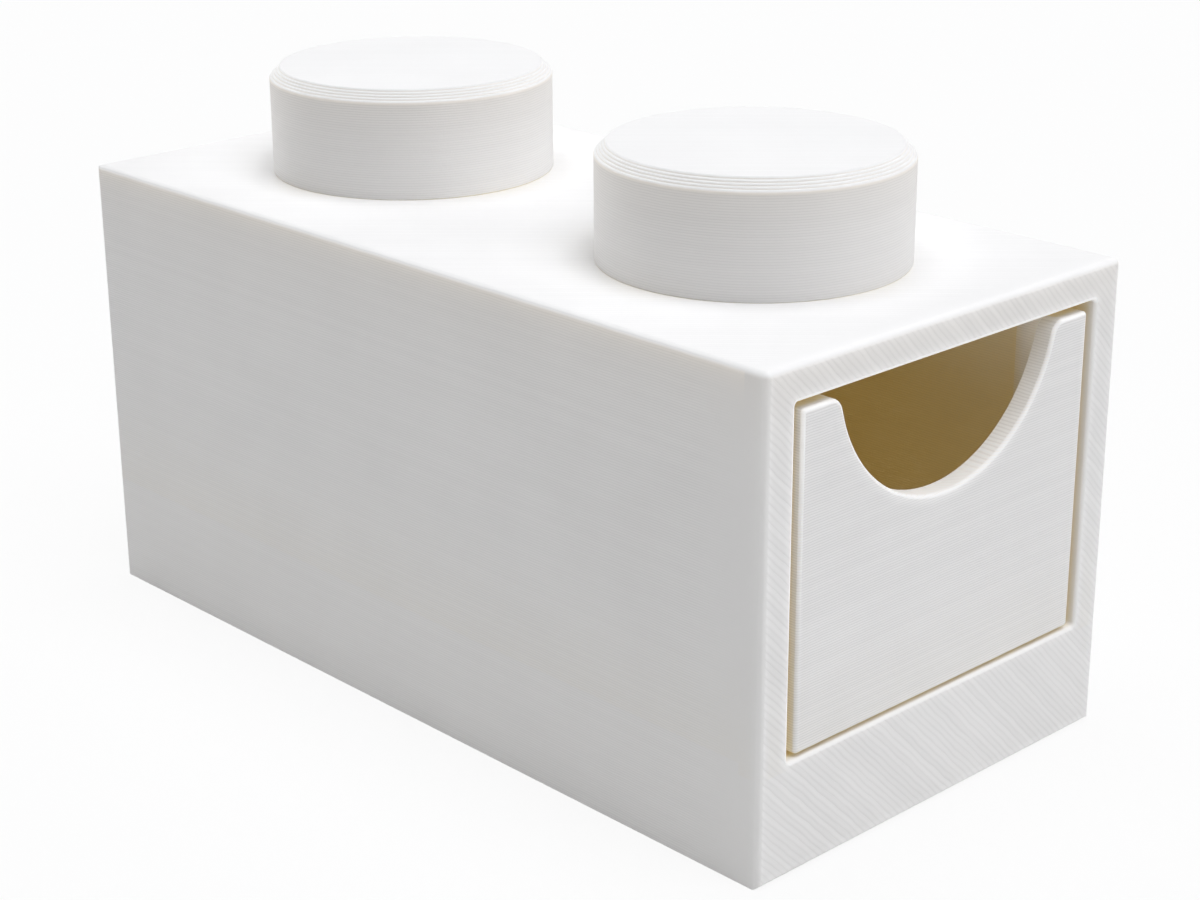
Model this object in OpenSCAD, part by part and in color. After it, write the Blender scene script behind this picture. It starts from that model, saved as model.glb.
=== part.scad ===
// Storage drawer in the shape of a one-by-two building brick, printed in white plastic.
// Sizes are in millimetres. The origin is the middle of the footprint, on the surface that
// the brick stands on. X runs across the width, Y from the drawer's face (-Y) to the back,
// and Z points up.

/* [Body] */
// Width of the body, side to side
body_w = 39; // [36:0.5:60]
// Length of the body, drawer face to back
body_l = 79; // [74:0.5:120]
// Height of the body, without the studs
body_h = 38.4; // [34:0.2:60]
// Thickness of the two long walls
wall_t = 2.9; // [2.3:0.05:4]
// Thickness of the back wall
back_t = 2.7; // [2.3:0.1:4]
// Thickness of the roof
roof_t = 2.7; // [2.3:0.1:4]
// Thickness of the skirt round the underside, below the floor of the drawer bay
skirt_t = 1.5; // [1:0.1:2]
// Rounding of the body's outer edges
edge_r = 0.5; // [0.2:0.1:1]

/* [Front frame] */
// Thickness of the flat frame round the drawer
frame_t = 2; // [1.9:0.1:4]
// Rounding of the edge round the frame's opening
opening_r = 0.2; // [0.1:0.05:0.5]
// Radius of the locating pegs on the frame's back
peg_r = 0.8; // [0.6:0.1:0.9]
// Length of the locating pegs
peg_l = 3; // [1.5:0.5:6]
// Distance of the pegs from the top and the bottom of the bay
peg_inset = 4; // [2.5:0.5:8]

/* [Studs] */
// Diameter of a stud
stud_d = 24; // [20:0.5:28]
// Height of a stud
stud_h = 9; // [6:0.2:12]
// Distance between the centres of the two studs
stud_pitch = 40; // [34:0.5:44]
// Height of one printed layer
layer_h = 0.2; // [0.1:0.05:0.3]
// Number of stepped layers that make the bevel round a stud's top
bevel_layers = 5; // [2:1:8]
// Bevel round a stud's foot, where it meets the roof
foot_bevel = 0.25; // [0.1:0.05:0.5]
// Radius of the spigot under a stud
spigot_r = 4; // [2.5:0.5:8]
// Length of the spigot under a stud
spigot_l = 1.6; // [0.8:0.2:1.8]

/* [Bay floor and sockets] */
// Thickness of the floor that the drawer slides on
floor_t = 1.5; // [1:0.1:3]
// Wall of the two round sockets under the floor
socket_t = 1.6; // [1:0.1:2.4]
// Room round and above the studs of a brick underneath
stack_gap = 0.2; // [0.1:0.05:0.4]

/* [Drawer] */
// Thickness of the drawer's front
front_t = 1.6; // [1.2:0.1:1.8]
// Distance that the drawer's front hangs below the bay floor's top
lip_drop = 1.35; // [0.8:0.05:1.5]
// Rounding of the front's edges
front_r = 0.35; // [0.2:0.05:0.8]
// Radius of the finger cut-out
finger_r = 12; // [8:0.5:13]
// Depth of the finger cut-out below the front's top edge
finger_depth = 10; // [5:0.5:12]
// Rounding of the corners where the cut-out meets the top edge
horn_r = 1.3; // [0.5:0.1:2]
// Rounding of the cut-out's edges
lip_r = 0.3; // [0.1:0.05:0.5]
// Thickness of the cheeks that lap inside the tray
cheek_t = 1; // [0.8:0.1:2]
// Length of the cheeks
cheek_l = 2.8; // [1.6:0.2:8]
// Thickness of the tray's walls
tray_t = 1.6; // [1.2:0.1:2.4]
// Thickness of the tray's floor
tray_floor_t = 1.6; // [1:0.1:3]
// Radius of the tray's inner corners
tray_r = 1.5; // [0.5:0.25:4]
// Height of the tray's wall below the front's top edge
tray_drop = 0.4; // [0.2:0.1:4]

/* [Clearances] */
// Gap between the drawer and the bay at each side
side_gap = 0.85; // [0.4:0.05:1.6]
// Gap over the drawer
top_gap = 0.7; // [0.4:0.05:1.6]
// Gap between the drawer's front and the sill below it
sill_gap = 0.3; // [0.25:0.05:0.8]
// Running gap between the tray and the floor under it
glide_gap = 0.3; // [0.2:0.05:0.6]
// Gap between the shut drawer's front and the edge of the floor behind it
stop_gap = 0.3; // [0.25:0.05:0.6]
// Gap behind the shut drawer
rear_gap = 1.2; // [0.5:0.1:4]
// Gap round glued pegs, spigots, cheeks and the bay floor
glue_gap = 0.1; // [0.05:0.05:0.2]

/* [Hidden] */

white = [0.93, 0.93, 0.92];
eps = 0.01;      // overshoot of cuts through a face
over = 1;        // overshoot of cuts that end outside the body
round_fn = 48;   // segments of small roundings
stud_fn = 128;   // segments of studs, sockets and the finger cut-out

front_y = -body_l / 2;
back_y = body_l / 2;
frame_back_y = front_y + frame_t;

// heights, from the underside up
floor_z0 = stud_h + stack_gap;
floor_z1 = floor_z0 + floor_t;
front_z0 = floor_z1 - lip_drop;
sill_z = front_z0 - sill_gap;
bay_z1 = body_h - roof_t;
front_z1 = bay_z1 - top_gap;

// the bay and the drawer in it
bay_w = body_w - 2 * wall_t;
bay_y1 = back_y - back_t;
drawer_w = bay_w - 2 * side_gap;
panel_y0 = frame_back_y - stop_gap - front_t;
panel_y1 = panel_y0 + front_t;
tray_y1 = bay_y1 - rear_gap;
tray_z0 = floor_z1 + glide_gap;
tray_z1 = front_z1 - tray_drop;
tray_floor_z1 = tray_z0 + tray_floor_t;
tray_in_w = drawer_w - 2 * tray_t;

// finger cut-out: its circle's centre stands above the front's top edge
finger_z = front_z1 - finger_depth + finger_r;
horn_dz = finger_z - (front_z1 - horn_r);
horn_x = sqrt(pow(finger_r + horn_r, 2) - pow(horn_dz, 2));

// glued joints
peg_x = body_w / 2 - wall_t / 2;
peg_zs = [floor_z1 + peg_inset, bay_z1 - peg_inset];
socket_r = stud_d / 2 + stack_gap;

// ---------------------------------------------------------------- helpers

// Rectangle from corner a to corner b, with roundings of its own at its four corners:
// low left, low right, high right and high left. 0 leaves a corner sharp.
module rounded_rect(a, b, rs) {
    cx = [a[0], b[0], b[0], a[0]];
    cy = [a[1], a[1], b[1], b[1]];
    sx = [1, -1, -1, 1];
    sy = [1, 1, -1, -1];
    difference() {
        translate(a) square([b[0] - a[0], b[1] - a[1]]);
        for (i = [0:3])
            if (rs[i] > 0)
                translate([cx[i], cy[i]]) corner_waste(rs[i], sx[i], sy[i]);
    }
}

// What a rounding takes off a corner at the origin, for a body towards (sx, sy)
module corner_waste(r, sx, sy) {
    difference() {
        translate([sx > 0 ? -over : -r, sy > 0 ? -over : -r]) square(r + over);
        translate([sx * r, sy * r]) circle(r, $fn = round_fn);
    }
}

// Extrusions of a drawing along each axis, between two places on that axis.
// along_y takes a drawing in X and Z, along_x one in Y and Z.
module along_z(z0, z1) {
    translate([0, 0, z0]) linear_extrude(z1 - z0) children();
}

module along_y(y0, y1) {
    translate([0, y1, 0]) rotate([90, 0, 0]) linear_extrude(y1 - y0) children();
}

module along_x(x0, x1) {
    translate([x0, 0, 0]) rotate([90, 0, 90]) linear_extrude(x1 - x0) children();
}

module box(a, b) {
    translate(a) cube([b[0] - a[0], b[1] - a[1], b[2] - a[2]]);
}

// ---------------------------------------------------------------- body

// The whole body as one block, with its upright and top edges rounded
module body_block() {
    x = body_w / 2;
    intersection() {
        along_z(0, body_h)
            rounded_rect([-x, front_y], [x, back_y], [edge_r, edge_r, edge_r, edge_r]);
        along_y(front_y, back_y)
            rounded_rect([-x, 0], [x, body_h], [0, 0, edge_r, edge_r]);
        along_x(-x, x)
            rounded_rect([front_y, 0], [back_y, body_h], [0, 0, edge_r, edge_r]);
    }
}

module case_shell() color(white) {
    skirt_x = body_w / 2 - skirt_t;
    difference() {
        body_block();
        // room for the front frame
        box([-body_w / 2 - over, front_y - over, -over],
            [body_w / 2 + over, frame_back_y, body_h + over]);
        // bay that the drawer slides in
        box([-bay_w / 2, frame_back_y - eps, floor_z1 - eps], [bay_w / 2, bay_y1, bay_z1]);
        // wider pocket below it, whose ledge the bay floor is glued against
        box([-skirt_x, frame_back_y - eps, -over], [skirt_x, back_y - skirt_t, floor_z1]);
        // blind holes for the frame's pegs
        for (sx = [-1, 1], z = peg_zs)
            translate([sx * peg_x, frame_back_y - eps, z])
                rotate([-90, 0, 0])
                    cylinder(h = peg_l + glue_gap + eps, r = peg_r + glue_gap, $fn = round_fn);
        // blind pockets for the studs' spigots
        for (sy = [-1, 1])
            translate([0, sy * stud_pitch / 2, body_h - spigot_l - glue_gap])
                cylinder(h = spigot_l + glue_gap + over, r = spigot_r + glue_gap, $fn = stud_fn);
    }
}

// Opening of the frame, with its edge rounded where it meets the front face
module frame_opening() {
    x = bay_w / 2;
    y0 = front_y - over;
    y1 = frame_back_y + over;
    yr = front_y + opening_r;
    intersection() {
        along_z(sill_z - over, bay_z1 + over) {
            translate([-x, y0]) square([bay_w, y1 - y0]);
            for (s = [-1, 1])
                difference() {
                    translate([s > 0 ? x - over : -x - opening_r, y0])
                        square([over + opening_r, yr - y0]);
                    translate([s * (x + opening_r), yr]) circle(opening_r, $fn = round_fn);
                }
        }
        along_x(-x - over, x + over) {
            translate([y0, sill_z]) square([y1 - y0, bay_z1 - sill_z]);
            for (edge = [[sill_z, -1], [bay_z1, 1]])
                difference() {
                    translate([y0, edge[1] > 0 ? edge[0] - over : edge[0] - opening_r])
                        square([yr - y0, over + opening_r]);
                    translate([yr, edge[0] + edge[1] * opening_r])
                        circle(opening_r, $fn = round_fn);
                }
        }
    }
}

module front_frame() color(white) {
    difference() {
        intersection() {
            body_block();
            box([-body_w, front_y - over, -over], [body_w, frame_back_y, body_h + over]);
        }
        frame_opening();
    }
    // pegs on its back, in the ends of the long walls
    for (sx = [-1, 1], z = peg_zs)
        translate([sx * peg_x, frame_back_y - frame_t / 2, z])
            rotate([-90, 0, 0])
                cylinder(h = frame_t / 2 + peg_l, r = peg_r, $fn = round_fn);
}

// ---------------------------------------------------------------- bay floor

module bay_floor() color(white) {
    x = body_w / 2 - skirt_t - glue_gap;
    y1 = back_y - skirt_t - glue_gap;
    box([-x, frame_back_y, floor_z0], [x, y1, floor_z1]);
    // two round sockets for the studs of a brick underneath
    for (sy = [-1, 1])
        translate([0, sy * stud_pitch / 2, 0])
            difference() {
                cylinder(h = floor_z0 + floor_t / 2, r = socket_r + socket_t, $fn = stud_fn);
                translate([0, 0, -over])
                    cylinder(h = floor_z0 + over, r = socket_r, $fn = stud_fn);
            }
}

// ---------------------------------------------------------------- studs

// Outline of half a stud, with the bevel stepped layer by layer as it is printed
function stud_outline() = let(
        r = stud_d / 2,
        z1 = body_h + stud_h,
        zb = z1 - bevel_layers * layer_h)
    concat(
        [[0, body_h - spigot_l], [spigot_r, body_h - spigot_l], [spigot_r, body_h],
         [r - foot_bevel, body_h], [r, body_h + foot_bevel], [r, zb]],
        [for (i = [0:bevel_layers - 1], top = [0, 1])
            [r - (i + 0.5) * layer_h, zb + (i + top) * layer_h]],
        [[0, z1]]);

module stud(side) {
    translate([0, side * stud_pitch / 2, 0])
        rotate_extrude($fn = stud_fn) polygon(stud_outline());
}

module front_stud() color(white) stud(-1);

module rear_stud() color(white) stud(1);

// ---------------------------------------------------------------- drawer

module drawer_tray() color(white) {
    x = drawer_w / 2;
    difference() {
        along_z(tray_z0, tray_z1)
            rounded_rect([-x, panel_y1], [x, tray_y1], [0, 0, front_r, front_r]);
        along_z(tray_floor_z1, tray_z1 + over)
            rounded_rect([-x + tray_t, panel_y1 - over], [x - tray_t, tray_y1 - tray_t],
                         [0, 0, tray_r, tray_r]);
    }
}

// Half-round cut-out for a finger, with rounded edges at the face and at the back
module finger_cutout() {
    translate([0, panel_y0, finger_z])
        rotate([-90, 0, 0])
            rotate_extrude($fn = stud_fn) {
                translate([0, -over]) square([finger_r, front_t + 2 * over]);
                for (edge = [[0, 1], [front_t, -1]])
                    difference() {
                        translate([0, edge[1] > 0 ? -over : front_t - lip_r])
                            square([finger_r + lip_r, over + lip_r]);
                        translate([finger_r + lip_r, edge[0] + edge[1] * lip_r])
                            circle(lip_r, $fn = round_fn);
                    }
            }
    // rounded corners at the top edge
    k = finger_r / (finger_r + horn_r);
    for (s = [-1, 1])
        along_y(panel_y0 - over, panel_y1 + over)
            difference() {
                polygon([[s * horn_x, front_z1 - horn_r], [s * horn_x, front_z1 + eps],
                         [0, front_z1 + eps], [s * horn_x * k, finger_z - horn_dz * k]]);
                translate([s * horn_x, front_z1 - horn_r]) circle(horn_r, $fn = round_fn);
            }
}

module drawer_front() color(white) {
    x = drawer_w / 2;
    difference() {
        intersection() {
            along_y(panel_y0, panel_y1)
                rounded_rect([-x, front_z0], [x, front_z1],
                             [front_r, front_r, front_r, front_r]);
            along_z(front_z0, front_z1)
                rounded_rect([-x, panel_y0], [x, panel_y1], [front_r, front_r, 0, 0]);
            along_x(-x, x)
                rounded_rect([panel_y0, front_z0], [panel_y1, front_z1],
                             [front_r, 0, 0, front_r]);
        }
        finger_cutout();
    }
    // cheeks that lap inside the tray's walls
    for (s = [-1, 1]) {
        outer = tray_in_w / 2 - glue_gap;
        x0 = s > 0 ? outer - cheek_t : -outer;
        box([x0, panel_y1 - front_t / 2, tray_floor_z1 + glue_gap],
            [x0 + cheek_t, panel_y1 + cheek_l, tray_z1]);
    }
}

case_shell();
front_frame();
bay_floor();
front_stud();
rear_stud();
drawer_tray();
drawer_front();
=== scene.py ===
# Storage drawer in the shape of a one-by-two building brick, printed in white plastic.
# Metres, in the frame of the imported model: X across the width, Y from the drawer's face to the
# back, Z up from the surface that the brick stands on.
import math

import bmesh
import bpy
from mathutils import Matrix, Vector


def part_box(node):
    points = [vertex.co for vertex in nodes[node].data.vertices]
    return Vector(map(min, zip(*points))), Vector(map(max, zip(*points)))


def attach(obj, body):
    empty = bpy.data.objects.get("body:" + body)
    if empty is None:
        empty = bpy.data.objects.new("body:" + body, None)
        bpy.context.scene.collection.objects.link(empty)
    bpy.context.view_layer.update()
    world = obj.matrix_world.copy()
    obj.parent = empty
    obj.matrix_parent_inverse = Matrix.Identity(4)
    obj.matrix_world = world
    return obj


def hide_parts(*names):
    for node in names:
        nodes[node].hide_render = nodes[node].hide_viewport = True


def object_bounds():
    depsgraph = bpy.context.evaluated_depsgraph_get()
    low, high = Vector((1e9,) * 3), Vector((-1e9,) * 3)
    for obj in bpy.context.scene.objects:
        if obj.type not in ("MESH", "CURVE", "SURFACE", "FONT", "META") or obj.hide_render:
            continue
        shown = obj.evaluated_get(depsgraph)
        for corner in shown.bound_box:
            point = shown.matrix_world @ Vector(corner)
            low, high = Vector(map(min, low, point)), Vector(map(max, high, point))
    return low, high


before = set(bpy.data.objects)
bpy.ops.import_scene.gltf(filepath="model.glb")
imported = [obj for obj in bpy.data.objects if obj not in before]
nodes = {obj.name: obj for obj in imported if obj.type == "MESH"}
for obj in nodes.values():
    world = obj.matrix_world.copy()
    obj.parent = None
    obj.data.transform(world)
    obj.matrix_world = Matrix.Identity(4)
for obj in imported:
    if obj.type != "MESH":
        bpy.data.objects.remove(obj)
cad_box = [list(corner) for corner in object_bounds()]

# ------------------------------------------------------------------ case shell
# Roof, two long walls and back wall of the body, printed upright in one piece of matt white
# plastic. Its walls carry level layer lines and its roof is filled at 45 degrees.

LAYER = 0.0002
FILL_PITCH = 0.00045
WHITE = (0.882, 0.870, 0.857, 1)
# painted shade: the warm cream that shaded hollows are painted
SHADE_CREAM = (0.88, 0.78, 0.54, 1)
# painted light: the warm tint below edges lit from above
PAINTED_WARM_WHITE = (0.882, 0.852, 0.815, 1)
# painted highlight along rounded edges
HIGHLIGHT_WHITE = (0.960, 0.957, 0.950, 1)
BLACK = (0, 0, 0, 1)
# faint painted glow, standing in for light that shines through the plastic: below lit edges,
# along rims, and inside
PAINTED_EDGE_LIGHT = (0.110, 0.085, 0.050, 1)
PAINTED_RIM_LIGHT = (0.170, 0.163, 0.152, 1)
PAINTED_INNER_LIGHT = (0.047, 0.032, 0.007, 1)
# painted glow for what little light gets into the open underside
PAINTED_UNDER_LIGHT = (0.120, 0.119, 0.115, 1)
# how far down the painted warm tint reaches
PAINTED_WARMTH_FADE = 0.0035


def node(tree, kind, inputs=None, **settings):
    """Adds one node. inputs holds a number, a colour or the socket that feeds each input."""
    made = tree.nodes.new(kind)
    for name, value in settings.items():
        setattr(made, name, value)
    for name, value in (inputs or {}).items():
        if isinstance(value, bpy.types.NodeSocket):
            tree.links.new(value, made.inputs[name])
        else:
            made.inputs[name].default_value = value
    return made


def maths(tree, operation, *values):
    """One step of arithmetic on numbers or sockets."""
    return node(tree, "ShaderNodeMath", dict(enumerate(values)),
                operation=operation).outputs[0]


def ramp(tree, value, low, high):
    """0 at low and 1 at high, and the same beyond them. low may be the larger one."""
    return node(tree, "ShaderNodeMapRange", {"Value": value, "From Min": low, "From Max": high}
                ).outputs["Result"]


def blend(tree, factor, a, b, kind="FLOAT"):
    """a where factor is 0, and b where it is 1."""
    return node(tree, "ShaderNodeMix", {"Factor": factor, "A": a, "B": b},
                data_type=kind).outputs["Result"]


def fade_out(tree, distance, over, mask):
    """As much as mask at no distance, and about a third of that with each length over."""
    return maths(tree, "MULTIPLY", mask,
                 maths(tree, "EXPONENT", maths(tree, "DIVIDE", distance, -over)))


def new_group(name, inputs, outputs):
    """An empty shader group. inputs and outputs map each socket's name to its kind."""
    tree = bpy.data.node_groups.new(name, "ShaderNodeTree")
    for label, kind in inputs.items():
        tree.interface.new_socket(label, in_out="INPUT", socket_type="NodeSocket" + kind)
    for label, kind in outputs.items():
        tree.interface.new_socket(label, in_out="OUTPUT", socket_type="NodeSocket" + kind)
    return tree, tree.nodes.new("NodeGroupInput"), tree.nodes.new("NodeGroupOutput")


# how often, in each metre, the nozzle's path wanders along and across the beads
WANDER_ALONG = 420.0
WANDER_ACROSS = 700.0
# how often a crest comes and goes in each metre, and the step in that from bead to bead
CREST_ALONG = 260.0
CREST_STEP = 3.7
# where a crest starts and is full, from the middle of a bead at 0 to its far edge at 1
CREST_START = 0.55
CREST_FULL = 0.95
# the share of a bead's height that differs from bead to bead, and its rounded top's mean height
AMOUNT_RISE = 0.15
MEAN_CROWN = 0.667


def printed_beads():
    """Beads of plastic laid side by side. Across and Along are places in metres across and
    along the beads, Pitch is a bead's width, Wobble how far its path wanders, and Depth how
    far the grooves between beads go in. Ridges adds the thin crests where one bead was pressed
    over the edge of the last, and Uneven is how much the beads differ in paleness."""
    tree, given, out = new_group(
        "printed beads",
        {"Across": "Float", "Along": "Float", "Pitch": "Float", "Wobble": "Float",
         "Depth": "Float", "Ridges": "Float", "Uneven": "Float"},
        {"Height": "Float", "Tone": "Float"})
    given = given.outputs
    # the nozzle's path wanders a little along each bead
    path = node(tree, "ShaderNodeCombineXYZ", {
        "X": maths(tree, "MULTIPLY", given["Along"], WANDER_ALONG),
        "Y": maths(tree, "MULTIPLY", given["Across"], WANDER_ACROSS)}).outputs[0]
    wander = node(tree, "ShaderNodeTexNoise", {"Vector": path, "Scale": 1.0, "Detail": 1.0},
                  noise_dimensions="2D").outputs["Fac"]
    shifted = maths(tree, "MULTIPLY_ADD", maths(tree, "SUBTRACT", wander, 0.5),
                    given["Wobble"], given["Across"])
    count = maths(tree, "DIVIDE", shifted, given["Pitch"])
    which = maths(tree, "FLOOR", count)
    inside = maths(tree, "MULTIPLY_ADD", maths(tree, "FRACT", count), 2.0, -1.0)
    crown = maths(tree, "SUBTRACT", 1.0, maths(tree, "MULTIPLY", inside, inside))
    # each bead is laid with a little more or less plastic than the last
    amount = node(tree, "ShaderNodeTexWhiteNoise", {"W": which},
                  noise_dimensions="1D").outputs["Value"]
    # a crest comes and goes along its bead
    stretch = node(tree, "ShaderNodeCombineXYZ", {
        "X": maths(tree, "MULTIPLY", given["Along"], CREST_ALONG),
        "Y": maths(tree, "MULTIPLY", which, CREST_STEP)}).outputs[0]
    pressed = node(tree, "ShaderNodeTexNoise", {"Vector": stretch, "Scale": 1.0, "Detail": 1.0},
                   noise_dimensions="2D").outputs["Fac"]
    crest = maths(tree, "MULTIPLY", ramp(tree, inside, CREST_START, CREST_FULL),
                  ramp(tree, pressed, 0.3, 0.7))
    crest = maths(tree, "MULTIPLY", crest, given["Ridges"])
    raised = maths(tree, "ADD", maths(tree, "MULTIPLY_ADD", amount, AMOUNT_RISE, crown), crest)
    tree.links.new(maths(tree, "MULTIPLY", given["Depth"], raised), out.inputs["Height"])
    # around 0: painted shade, darker in the grooves; a painted highlight, paler on crests; and
    # paler where more plastic was laid
    uneven = maths(tree, "MULTIPLY", maths(tree, "SUBTRACT", amount, 0.5), given["Uneven"])
    shade = maths(tree, "ADD", maths(tree, "SUBTRACT", crown, MEAN_CROWN), uneven)
    tree.links.new(maths(tree, "ADD", shade, crest), out.inputs["Tone"])
    return tree


CLOUD_SCALE = 95.0
GRAIN_SCALE = 5200.0
SKIN_ROUGHNESS = (0.60, 0.76)


def matt_skin():
    """The skin of matt printed plastic: soft cloudy variation, fine grain and roughness."""
    tree, given, out = new_group(
        "matt skin", {"Place": "Vector"},
        {"Cloud": "Float", "Grain": "Float", "Roughness": "Float"})
    cloud = node(tree, "ShaderNodeTexNoise", {
        "Vector": given.outputs["Place"], "Scale": CLOUD_SCALE, "Detail": 3.0,
        "Roughness": 0.55}).outputs["Fac"]
    grain = node(tree, "ShaderNodeTexNoise", {
        "Vector": given.outputs["Place"], "Scale": GRAIN_SCALE, "Detail": 2.0}).outputs["Fac"]
    rough = node(tree, "ShaderNodeMapRange", {
        "Value": maths(tree, "MULTIPLY_ADD", grain, 0.5, maths(tree, "MULTIPLY", cloud, 0.5)),
        "From Min": 0.3, "From Max": 0.7, "To Min": SKIN_ROUGHNESS[0],
        "To Max": SKIN_ROUGHNESS[1]}).outputs["Result"]
    for label, socket in (("Cloud", cloud), ("Grain", grain), ("Roughness", rough)):
        tree.links.new(socket, out.inputs[label])
    return tree


BEADS = printed_beads()
SKIN = matt_skin()
LAYER_WOBBLE = 0.0001
LAYER_UNEVEN = 0.18
FILL_WOBBLE = 0.0002
FILL_UNEVEN = 0.5
# turns the sum or difference of two places into a place along a diagonal
DIAGONAL = 0.70711
GRAIN_HEIGHT = 0.0000045
CLOUD_TONE = 0.06
# how far the layer lines take to die away, and how far off a surface still shuts out sky
SMOOTH_FADE = 0.005
SKY_REACH = 0.04
# the step at which the painted cream shade ends above the open underside
UNDER_STEP = 0.0001


def printed_plastic(name, flat_axis, layer_depth, fill_depth, shut_in, layer_tone=0.10,
                    fill_tone=0.06, ridges=0.0, lit_top=None, lit_fade=0.0007, smooth_end=None,
                    under=0.0):
    """Printed white plastic. Faces along flat_axis show fill lines at 45 degrees, and the
    others show layer lines stacked along the same axis. Shade and light are painted into it,
    standing in for light that comes through thin white plastic. Painted shade: it is cream where
    little sky reaches it, with a faint painted glow, and shut_in holds the share of open sky
    where that starts and the share where it is full. Painted light: it is pale and warm, with a
    faint painted glow, below an edge that is lit from above, whose height is lit_top, and
    lit_fade is how far down that glow reaches. Painted highlight: it is pale and glows faintly
    along the roundings that a piece's own rim attribute marks. The layer lines die away towards
    the place smooth_end on the Y axis. Below the height under, where the piece is open
    underneath, the plastic isn't cream but takes a painted glow of light from below."""
    material = bpy.data.materials.new(name)
    material.use_nodes = True
    tree = material.node_tree
    shader = tree.nodes["Principled BSDF"]
    place = node(tree, "ShaderNodeTexCoord").outputs["Object"]
    facing = node(tree, "ShaderNodeTexCoord").outputs["Normal"]
    at = node(tree, "ShaderNodeSeparateXYZ", {"Vector": place}).outputs
    turned = node(tree, "ShaderNodeSeparateXYZ", {"Vector": facing}).outputs
    first, second = [a for a in (0, 1, 2) if a != flat_axis]

    layers = node(tree, "ShaderNodeGroup", {
        "Across": at[flat_axis], "Along": maths(tree, "ADD", at[first], at[second]),
        "Pitch": LAYER, "Wobble": LAYER_WOBBLE, "Depth": layer_depth, "Ridges": 0.0,
        "Uneven": LAYER_UNEVEN}, node_tree=BEADS)
    fill = node(tree, "ShaderNodeGroup", {
        "Across": maths(tree, "MULTIPLY", maths(tree, "ADD", at[first], at[second]), DIAGONAL),
        "Along": maths(tree, "MULTIPLY", maths(tree, "SUBTRACT", at[first], at[second]),
                       DIAGONAL),
        "Pitch": FILL_PITCH, "Wobble": FILL_WOBBLE, "Depth": fill_depth, "Ridges": ridges,
        "Uneven": FILL_UNEVEN}, node_tree=BEADS)
    flat = ramp(tree, maths(tree, "ABSOLUTE", turned[flat_axis]), 0.93, 0.99)
    layer_height = layers.outputs["Height"]
    layer_shade = maths(tree, "MULTIPLY", layers.outputs["Tone"], layer_tone)
    if smooth_end is not None:
        kept = ramp(tree, at[1], smooth_end, smooth_end + SMOOTH_FADE)
        layer_height = maths(tree, "MULTIPLY", layer_height, kept)
        layer_shade = maths(tree, "MULTIPLY", layer_shade, kept)
    height = blend(tree, flat, layer_height, fill.outputs["Height"])
    tone = blend(tree, flat, layer_shade,
                 maths(tree, "MULTIPLY", fill.outputs["Tone"], fill_tone))

    skin = node(tree, "ShaderNodeGroup", {"Place": place}, node_tree=SKIN).outputs
    height = maths(tree, "MULTIPLY_ADD", skin["Grain"], GRAIN_HEIGHT, height)
    tone = maths(tree, "ADD", tone, maths(
        tree, "MULTIPLY_ADD", maths(tree, "SUBTRACT", skin["Cloud"], 0.5), CLOUD_TONE, 1.0))

    colour, through = WHITE, BLACK
    if lit_top is not None:
        # painted light: walls below an edge lit from above are painted warm and given a faint
        # painted glow
        wall = ramp(tree, maths(tree, "ABSOLUTE", turned[2]), 0.6, 0.2)
        below = maths(tree, "MAXIMUM", maths(tree, "SUBTRACT", lit_top, at[2]), 0.0)
        warm = fade_out(tree, below, PAINTED_WARMTH_FADE, wall)
        lit = fade_out(tree, below, lit_fade, wall)
        colour = blend(tree, warm, colour, PAINTED_WARM_WHITE, kind="RGBA")
        through = blend(tree, lit, through, PAINTED_EDGE_LIGHT, kind="RGBA")
    # painted highlight: the roundings that the rim attribute marks are painted pale and given a
    # faint painted glow
    rim = node(tree, "ShaderNodeAttribute", attribute_name="rim").outputs["Fac"]
    pale = maths(tree, "MULTIPLY", rim, rim)
    colour = blend(tree, pale, colour, HIGHLIGHT_WHITE, kind="RGBA")
    through = blend(tree, pale, through, PAINTED_RIM_LIGHT, kind="RGBA")
    # painted shade: hollows that little sky reaches are painted cream and given a faint painted
    # glow
    sky = node(tree, "ShaderNodeAmbientOcclusion", {"Distance": SKY_REACH},
               samples=4).outputs["AO"]
    inside = maths(tree, "MULTIPLY", ramp(tree, sky, *shut_in), ramp(tree, rim, 0.45, 0.1))
    inner, cream = PAINTED_INNER_LIGHT, inside
    if under:
        # painted light: the underside's painted glow grows towards the floor and on faces that
        # look down
        low = ramp(tree, at[2], under + UNDER_STEP, under)
        cream = maths(tree, "MULTIPLY", inside, maths(tree, "SUBTRACT", 1.0, low))
        reach = maths(tree, "MULTIPLY_ADD", ramp(tree, at[2], under, 0.0), 0.45, 0.3)
        reach = maths(tree, "MULTIPLY_ADD", ramp(tree, turned[2], 0.0, -0.8), 0.25, reach)
        inner = blend(tree, maths(tree, "MULTIPLY", low, reach), inner, PAINTED_UNDER_LIGHT, kind="RGBA")
    # the painted cream shade and the painted glow of the hollows
    colour = blend(tree, cream, colour, SHADE_CREAM, kind="RGBA")
    through = blend(tree, inside, through, inner, kind="RGBA")
    colour = node(tree, "ShaderNodeVectorMath", {0: colour, "Scale": tone},
                  operation="SCALE").outputs["Vector"]
    tree.links.new(colour, shader.inputs["Base Color"])
    tree.links.new(through, shader.inputs["Emission Color"])
    shader.inputs["Emission Strength"].default_value = 1.0
    tree.links.new(skin["Roughness"], shader.inputs["Roughness"])
    bump = node(tree, "ShaderNodeBump", {"Height": height, "Strength": 1.0, "Distance": 1.0})
    tree.links.new(bump.outputs["Normal"], shader.inputs["Normal"])
    shader.inputs["Specular IOR Level"].default_value = 0.20
    shader.inputs["IOR"].default_value = 1.46
    return material


# the skirt is open up to this height
CASE_UNDER = 0.0094

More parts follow.
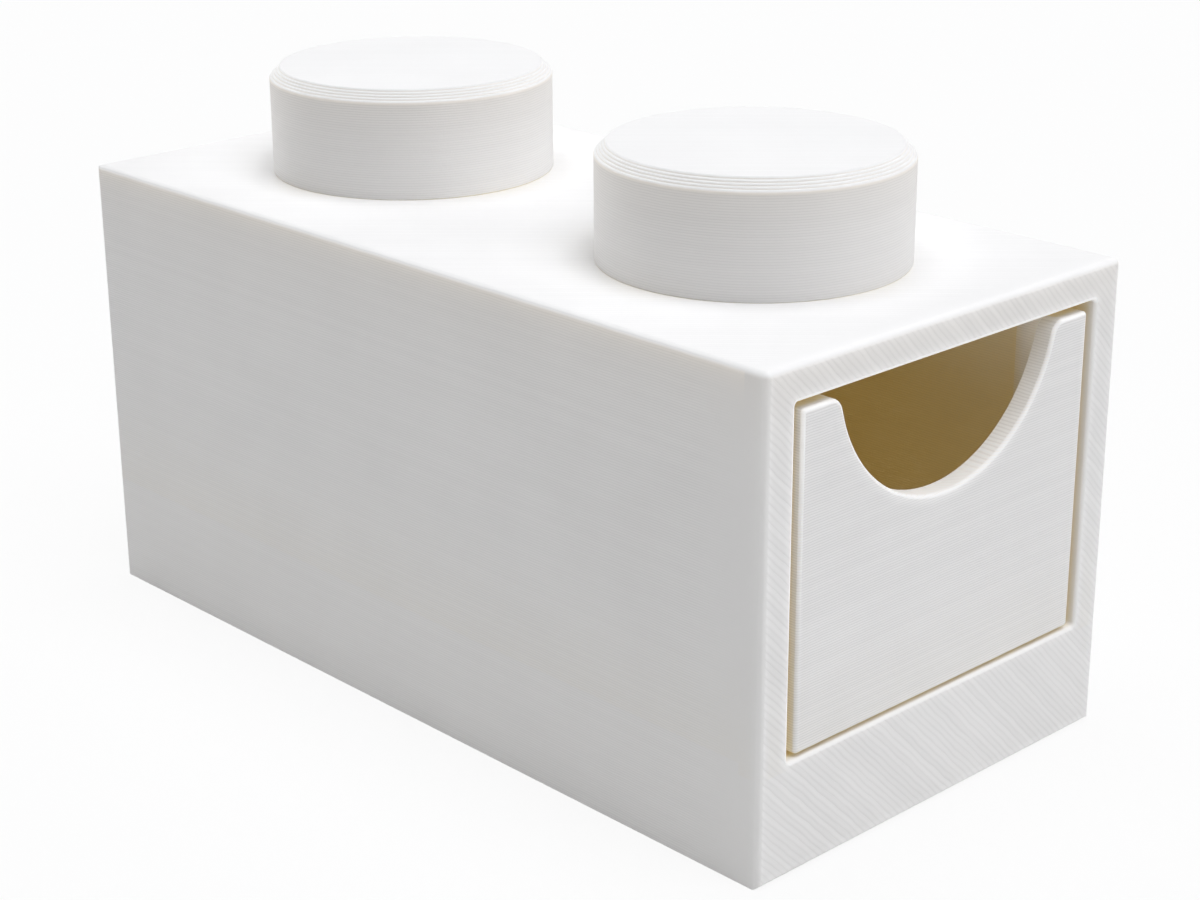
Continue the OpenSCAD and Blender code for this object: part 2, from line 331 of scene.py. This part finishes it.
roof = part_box("case_shell")[1][2]
case_plastic = printed_plastic("case plastic", 2, 0.000006, 0.000004, (0.42, 0.04),
                               fill_tone=0.035, lit_top=roof,
                               smooth_end=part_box("case_shell")[0][1], under=CASE_UNDER)


def dress(name, material):
    """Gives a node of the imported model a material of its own."""
    mesh = nodes[name].data
    mesh.materials.clear()
    mesh.materials.append(material)
    for face in mesh.polygons:
        face.material_index = 0


dress("case_shell", case_plastic)

# ------------------------------------------------------------------ bay floor
# The plate that the drawer slides on, with two round sockets underneath for the studs of
# another brick. Printed flat in the same plastic and glued against the shell's ledge.

dress("bay_floor", case_plastic)

# ------------------------------------------------------------------ front frame
# The flat frame round the drawer, printed lying on its back, so its face is all fill lines
# at 45 degrees. Glued over the ends of the walls on four pegs.

EDGE_R = 0.0005
OPENING_R = 0.0003
OPENING_CORNER = 0.0003
WALL = 0.0029
PEG_R = 0.0008
PEG_INSET = 0.004
ROOF_T = 0.0027
SILL = 0.00905
RIM_DEPTH = 0.001
RIM_FADE = 0.0008
FRAME_UNDER = 0.0085
# places closer than this are the same place
HAIR = 1e-6
JUST_BEHIND = 2e-6
# the edges of the opening lie further than this from the outside
WELL_INSIDE = 0.001

frame_plastic = printed_plastic("frame plastic", 1, 0.0, 0.000010, (0.36, 0.08),
                                layer_tone=0.0, fill_tone=0.085, ridges=0.8, lit_top=roof,
                                lit_fade=0.0001, under=FRAME_UNDER)


def loop(shape, points, y):
    """A closed loop of edges through points (x, z) at the place y."""
    corners = [shape.verts.new((x, y, z)) for x, z in points]
    return [shape.edges.new(pair) for pair in zip(corners, corners[1:] + corners[:1])]


def arc(middle, radius, start, turn, steps=8):
    """Points (x, z) along an arc, from the angle start through turn degrees."""
    angles = [math.radians(start + turn * k / steps) for k in range(steps + 1)]
    return [(middle[0] + radius * math.cos(a), middle[1] + radius * math.sin(a))
            for a in angles]


def pull_back(shape, faces, y):
    """Extrudes flat front faces back to the place y. Gives the new faces."""
    made = bmesh.ops.extrude_face_region(shape, geom=faces, use_keep_orig=True)["geom"]
    for point in (p for p in made if isinstance(p, bmesh.types.BMVert)):
        point.co.y = y
    return [f for f in made if isinstance(f, bmesh.types.BMFace)]


def round_edges(shape, edges, radius, segments=6):
    bmesh.ops.bevel(shape, geom=edges, offset=radius, segments=segments, profile=0.5,
                    affect="EDGES", clamp_overlap=True, material=-1)


def mark_highlights(shape, y, fade, paleness):
    """Marks how pale the edges round a flat front at the place y are painted, as a painted
    highlight. paleness(point, depth) gives it for a point that lies depth behind the front. On
    the front itself it fades out over the length fade."""
    mark = shape.verts.layers.float.new("rim")
    flat = [f for f in shape.faces
            if f.normal.y < -0.999 and f.calc_center_median().y < y + HAIR]
    bmesh.ops.inset_region(shape, faces=flat, thickness=fade, use_even_offset=True)
    for point in shape.verts:
        point[mark] = paleness(point.co, point.co.y - y)
    for face in flat:
        for point in face.verts:
            point[mark] = 0.0


def steps(depth, *levels):
    """The level of the last of the pairs (from this depth on, level) that depth reaches."""
    return [level for start, level in levels if depth > start - HAIR][-1]


def finish_print(shape, name, material, body, stands_for):
    """Makes a closed solid into an object that rides on a body in a node's place."""
    bmesh.ops.recalc_face_normals(shape, faces=shape.faces)
    mesh = bpy.data.meshes.new(name)
    shape.to_mesh(mesh)
    shape.free()
    mesh.shade_smooth()
    mesh.set_sharp_from_angle(angle=math.radians(50))
    mesh.materials.append(material)
    made = bpy.data.objects.new(name, mesh)
    bpy.context.scene.collection.objects.link(made)
    # flat faces keep their own normals right up to their roundings
    normals = made.modifiers.new("flat faces", "WEIGHTED_NORMAL")
    normals.keep_sharp = True
    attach(made, body)
    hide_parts(stands_for)


def add_block(shape, low, high):
    """A block from corner low to corner high."""
    size = Vector(high) - Vector(low)
    place = Matrix.Translation((Vector(low) + Vector(high)) / 2) @ Matrix.Diagonal((*size, 1))
    return bmesh.ops.create_cube(shape, size=1, matrix=place)["verts"]


face_y = cad_box[0][1]
half_w = cad_box[1][0]
frame_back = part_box("case_shell")[0][1]
bay_x = half_w - WALL
bay_top = roof - ROOF_T
bay_floor_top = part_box("bay_floor")[1][2]
peg_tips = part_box("front_frame")[1][1]

shape = bmesh.new()
outer = loop(shape, [(-half_w, 0), (half_w, 0), (half_w, roof), (-half_w, roof)], face_y)
opening = []
for side_x, side_z, start in ((1, 1, 0), (-1, 1, 90), (-1, -1, 180), (1, -1, 270)):
    opening += arc((side_x * (bay_x - OPENING_CORNER),
                    (bay_top - OPENING_CORNER if side_z > 0 else SILL + OPENING_CORNER)),
                   OPENING_CORNER, start, 90, steps=5)
inner = loop(shape, opening, face_y)
front = bmesh.ops.triangle_fill(shape, edges=outer + inner, use_beauty=True)["geom"]
front = [f for f in front if isinstance(f, bmesh.types.BMFace)]
middle = pull_back(shape, front, face_y + RIM_DEPTH)
pull_back(shape, middle, frame_back)
bmesh.ops.delete(shape, geom=middle, context="FACES")
bmesh.ops.recalc_face_normals(shape, faces=shape.faces)


def on_side(edge):
    """Whether an edge runs along the outside of the frame, other than back along its foot."""
    a, b = (v.co for v in edge.verts)
    if a.z < HAIR and b.z < HAIR and abs(a.y - b.y) > HAIR:
        return False
    return all(abs(abs(p.x) - half_w) < HAIR or p.z > roof - HAIR for p in (a, b))


sharp = [e for e in shape.edges if e.calc_face_angle(0) > 1 and on_side(e)
         and not all(v.co.y > frame_back - HAIR for v in e.verts)]
round_edges(shape, sharp, EDGE_R)
round_edges(shape, [e for e in shape.edges if e.calc_face_angle(0) > 1
                    and all(v.co.y < face_y + HAIR and abs(v.co.x) < half_w - WELL_INSIDE
                            and WELL_INSIDE < v.co.z < roof - WELL_INSIDE
                            for v in e.verts)], OPENING_R)


def frame_highlight(at, depth):
    # painted highlight: how pale the frame's edges are painted, by place and by depth behind the
    # front
    if abs(at.x) > half_w - WALL / 2 or not WALL / 2 < at.z < roof - WALL / 2:
        return steps(depth, (0, 0.4), (JUST_BEHIND, 0.5), (EDGE_R, 0.35), (RIM_DEPTH, 0.2),
                     (frame_back - face_y, 0.0))
    # painted highlight: the edges that show against the dark opening are painted palest, where
    # the most light falls
    if at.z > roof - WALL or at.x < 0 and at.z > SILL + OPENING_R / 2:
        return steps(depth, (0, 0.55), (JUST_BEHIND, 1.1), (OPENING_R, 0.45), (RIM_DEPTH, 0.0))
    return steps(depth, (0, 0.4), (JUST_BEHIND, 0.6), (OPENING_R, 0.45), (RIM_DEPTH, 0.0))


mark_highlights(shape, face_y, RIM_FADE, frame_highlight)
for side in (-1, 1):
    for up in (bay_floor_top + PEG_INSET, bay_top - PEG_INSET):
        bmesh.ops.create_cone(
            shape, cap_ends=True, segments=32, radius1=PEG_R, radius2=PEG_R,
            depth=peg_tips - frame_back,
            matrix=Matrix.Translation((side * (half_w - WALL / 2), (peg_tips + frame_back) / 2,
                                       up)) @ Matrix.Rotation(math.pi / 2, 4, "X"))
finish_print(shape, "front_frame_print", frame_plastic, "case", "front_frame")

# ------------------------------------------------------------------ studs
# Two round studs printed upright, with ring layers all the way up and a bevel of soft stepped
# layers round the top. Each is glued to the roof over a short spigot.

STUD_BEVEL = 0.001
FOOT_BEVEL = 0.00005
SPIGOT_R = 0.004
GROOVE = 0.000010
BEVEL_STEP = 0.000045
BEAD_POINTS = 4
STUD_STEPS = 144
MERGE = 0.000002

stud_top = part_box("front_stud")[1][2]
stud_plastic = printed_plastic("stud plastic", 2, 0.0, 0.000003, (0.14, 0.02),
                               fill_tone=0.03, lit_top=stud_top - STUD_BEVEL, lit_fade=0.00010)


def ring_layers(start, end, layers, bulge):
    """Points (radius, height) up a wall of round-edged layers, from start to end. Each layer
    stands out from the straight line between them by bulge, in the middle of its height."""
    along = Vector(end) - Vector(start)
    outward = Vector((along.y, -along.x)).normalized()
    points = []
    for layer in range(layers):
        for k in range(BEAD_POINTS):
            across = 2 * k / BEAD_POINTS - 1
            points.append(Vector(start) + along * (layer + k / BEAD_POINTS) / layers
                          + outward * bulge * (1 - across * across))
    return points + [Vector(end)]


def turned_stud(name):
    """A stud as one closed turned solid, with its layers modelled, in the place of its node."""
    low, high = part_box(name)
    radius = (high[0] - low[0]) / 2
    wall = radius - GROOVE
    bevel_z = high[2] - STUD_BEVEL
    layers = round((bevel_z - roof - FOOT_BEVEL) / LAYER)
    outline = [(0, low[2]), (SPIGOT_R, low[2]), (SPIGOT_R, roof), (radius - FOOT_BEVEL, roof)]
    outline += ring_layers((wall, roof + FOOT_BEVEL), (wall, bevel_z), layers, GROOVE)
    outline += ring_layers((wall, bevel_z), (radius - STUD_BEVEL, high[2]),
                           round(STUD_BEVEL / LAYER), BEVEL_STEP)
    outline.append((0, high[2]))
    shape = bmesh.new()
    middle = Vector(((low[0] + high[0]) / 2, (low[1] + high[1]) / 2, 0))
    points = [shape.verts.new(middle + Vector((across, 0, up))) for across, up in outline]
    edges = [shape.edges.new(pair) for pair in zip(points, points[1:])]
    bmesh.ops.spin(shape, geom=points + edges, cent=middle, axis=(0, 0, 1),
                   angle=2 * math.pi, steps=STUD_STEPS, use_merge=True)
    bmesh.ops.remove_doubles(shape, verts=shape.verts, dist=MERGE)
    finish_print(shape, name + "_print", stud_plastic, "case", name)


turned_stud("front_stud")
turned_stud("rear_stud")

# ------------------------------------------------------------------ drawer
# The open-topped tray and the front with its half-round finger cut-out, printed upright in
# the same plastic. Two cheeks on the front's back are glued inside the tray's walls.

FRONT_T = 0.0016
FINGER_R = 0.012
FINGER_DEPTH = 0.010
HORN_R = 0.0013
LIP_R = 0.0003
TRAY_T = 0.0016
TRAY_FLOOR_T = 0.0016
CHEEK_T = 0.001
GLUE_GAP = 0.0001

tray_plastic = printed_plastic("tray plastic", 2, 0.000007, 0.000005, (0.38, 0.04))
dress("drawer_tray", tray_plastic)

front_plastic = printed_plastic("drawer front plastic", 2, 0.000008, 0.000005, (0.36, 0.08),
                                layer_tone=0.15)
low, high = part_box("drawer_front")
tray_low, tray_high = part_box("drawer_tray")
edge_x, top_z = high[0], high[2]
finger_z = top_z - FINGER_DEPTH + FINGER_R
horn_z = top_z - HORN_R
horn_x = math.sqrt((FINGER_R + HORN_R) ** 2 - (finger_z - horn_z) ** 2)
# the angle at which the cut-out runs into the rounding of each horn, from straight down
meet = math.degrees(math.atan2(horn_x, finger_z - horn_z))

outline = [(-edge_x, low[2]), (edge_x, low[2]), (edge_x, top_z)]
outline += arc((horn_x, horn_z), HORN_R, 90, meet)
outline += arc((0, finger_z), FINGER_R, 270 + meet, -2 * meet, steps=72)[1:-1]
outline += arc((-horn_x, horn_z), HORN_R, 90 - meet, meet)
outline.append((-edge_x, top_z))
shape = bmesh.new()
front_y = low[1]
back_y = front_y + FRONT_T
edges = loop(shape, outline, front_y)
panel = shape.faces.new([e.verts[0] for e in edges])
middle = pull_back(shape, [panel], front_y + RIM_DEPTH)
pull_back(shape, middle, back_y)
bmesh.ops.delete(shape, geom=middle, context="FACES")
bmesh.ops.recalc_face_normals(shape, faces=shape.faces)
corners = [e for e in shape.edges
           if e.calc_face_angle(0) > 1 and abs(abs(e.verts[0].co.x) - edge_x) < HAIR
           and abs(e.verts[0].co.y - e.verts[1].co.y) > HAIR]
ends = [e for e in shape.edges if e.calc_face_angle(0) > 1 and e not in corners]
round_edges(shape, [e for e in ends if e.verts[0].co.y < front_y + HAIR] + corners, LIP_R)


def front_highlight(at, depth):
    # painted highlight: how pale the drawer front's edges are painted, by place and by depth
    # behind the front
    if abs(at.x) < horn_x and at.z > top_z - FINGER_DEPTH - LIP_R * 2:
        # painted light: the bottom of the cut-out, where light comes down, is painted paler
        upward = max((finger_z - at.z) / FINGER_R, 0.0) ** 2
        return steps(depth, (0, 0.2 + 0.4 * upward), (JUST_BEHIND, 0.8),
                     (LIP_R, 0.4 + 0.3 * upward))
    if at.z < low[2] + LIP_R * 2:
        return steps(depth, (0, 0.1), (JUST_BEHIND, 0.25), (LIP_R, 0.1), (RIM_DEPTH, 0.0))
    return steps(depth, (0, 0.25), (JUST_BEHIND, 1.0), (LIP_R, 0.55), (RIM_DEPTH, 0.0))


mark_highlights(shape, front_y, RIM_FADE, front_highlight)
mark = shape.verts.layers.float["rim"]
outer_x = tray_high[0] - TRAY_T - GLUE_GAP
for side in (-1, 1):
    near, far = sorted((side * outer_x, side * (outer_x - CHEEK_T)))
    cheek = add_block(shape, (near, back_y, tray_low[2] + TRAY_FLOOR_T + GLUE_GAP),
                      (far, high[1], tray_high[2]))
    for point in cheek:
        # painted light: the cheeks are painted pale next to the front, where light comes in
        # through it
        point[mark] = 1.0 if point.co.y < back_y + HAIR else 0.25
finish_print(shape, "drawer_front_print", front_plastic, "drawer",
             "drawer_front")

# ------------------------------------------------------------------ floor, light, camera
# A plain white floor under soft light from above and the front, with weaker light from the
# right, the left and the back.

FLOOR_HALF = 3.0
PAPER = (0.79, 0.785, 0.775, 1)
# how much of the floor the camera sees as plain white
PLAIN_WHITE = 0.87
LOBE_POWER = 4.0

mesh = bpy.data.meshes.new("studio floor")
mesh.from_pydata([(x * FLOOR_HALF, y * FLOOR_HALF, 0)
                  for x, y in ((-1, -1), (1, -1), (1, 1), (-1, 1))], [], [(0, 1, 2, 3)])
floor = bpy.data.objects.new("studio_floor", mesh)
bpy.context.scene.collection.objects.link(floor)
paper = bpy.data.materials.new("floor paper")
paper.use_nodes = True
tree = paper.node_tree
sheet = tree.nodes["Principled BSDF"]
sheet.inputs["Base Color"].default_value = PAPER
sheet.inputs["Roughness"].default_value = 1.0
sheet.inputs["Specular IOR Level"].default_value = 0.0
# the camera sees most of it as plain white, so that only a faint shadow is left
path = node(tree, "ShaderNodeLightPath").outputs
direct = maths(tree, "MAXIMUM", path["Is Camera Ray"],
               maths(tree, "MAXIMUM", path["Is Glossy Ray"], path["Is Transmission Ray"]))
white = node(tree, "ShaderNodeEmission", {"Color": (1, 1, 1, 1), "Strength": 1.0})
shown = node(tree, "ShaderNodeMixShader", {0: maths(tree, "MULTIPLY", direct, PLAIN_WHITE),
                                           1: sheet.outputs[0], 2: white.outputs[0]})
# from below it lets the camera see the underside
clear = tree.nodes.new("ShaderNodeBsdfTransparent")
below = node(tree, "ShaderNodeNewGeometry").outputs["Backfacing"]
shown = node(tree, "ShaderNodeMixShader", {
    0: maths(tree, "MULTIPLY", below, path["Is Camera Ray"]), 1: shown.outputs[0],
    2: clear.outputs[0]})
tree.links.new(shown.outputs[0], tree.nodes["Material Output"].inputs["Surface"])
mesh.materials.append(paper)


def sun(name, strength, spread, towards, colour=(1, 1, 1)):
    """A far lamp in the direction towards, as wide in the sky as spread degrees."""
    lamp = bpy.data.lights.new(name, "SUN")
    lamp.energy = strength
    lamp.color = colour
    lamp.angle = math.radians(spread)
    made = bpy.data.objects.new(name, lamp)
    made.rotation_mode = "QUATERNION"
    made.rotation_quaternion = Vector(towards).normalized().to_track_quat("Z", "Y")
    bpy.context.scene.collection.objects.link(made)


# a lamp of strength pi would show a face turned to it in just its own colour
sun("overhead light", 0.59 * math.pi, 45, (0, 0, 1), colour=(0.98, 1.0, 1.03))
sun("front light", 0.36 * math.pi, 40, (0, -0.5, 0.85), colour=(0.99, 1.0, 1.03))
sun("right light", 0.165 * math.pi, 30, (0.7, -0.7, 0.21), colour=(0.99, 1.0, 1.03))
sun("rear light", 0.19 * math.pi, 30, (0, 1, 0.21))
sun("left light", 0.08 * math.pi, 40, (-0.6, 0.75, 0.25))

# a pale room on the right and at the back, and white where the camera looks past the floor
world = bpy.data.worlds.new("studio")
bpy.context.scene.world = world
world.use_nodes = True
tree = world.node_tree
ray = node(tree, "ShaderNodeTexCoord").outputs["Generated"]
glow = 0.0
for direction, strength in (((1, 0, 0.1), 0.58), ((0, 1, 0.1), 0.90)):
    towards = node(tree, "ShaderNodeVectorMath", {0: ray, 1: Vector(direction).normalized()},
                   operation="DOT_PRODUCT").outputs["Value"]
    lobe = maths(tree, "POWER", maths(tree, "MAXIMUM", towards, 0.0), LOBE_POWER)
    glow = maths(tree, "MULTIPLY_ADD", lobe, strength, glow)
seen = node(tree, "ShaderNodeLightPath").outputs["Is Camera Ray"]
sky = node(tree, "ShaderNodeMix", {"Factor": seen, "A": glow, "B": 1.0},
           data_type="FLOAT").outputs["Result"]
tree.links.new(sky, tree.nodes["Background"].inputs["Color"])

lens = bpy.data.cameras.new("camera")
lens.sensor_width = 36
lens.lens = 74.4257
lens.clip_start = 0.005
lens.clip_end = 20
camera = bpy.data.objects.new("camera", lens)
camera.matrix_world = Matrix((
    (0.724884, 0.244497, -0.644022, -0.132124),
    (-0.688854, 0.250756, -0.680148, -0.142649),
    (-0.004802, 0.936666, 0.350191, 0.090188),
    (0, 0, 0, 1)))
bpy.context.scene.collection.objects.link(camera)
bpy.context.scene.camera = camera
bpy.context.scene.view_settings.view_transform = "Standard"
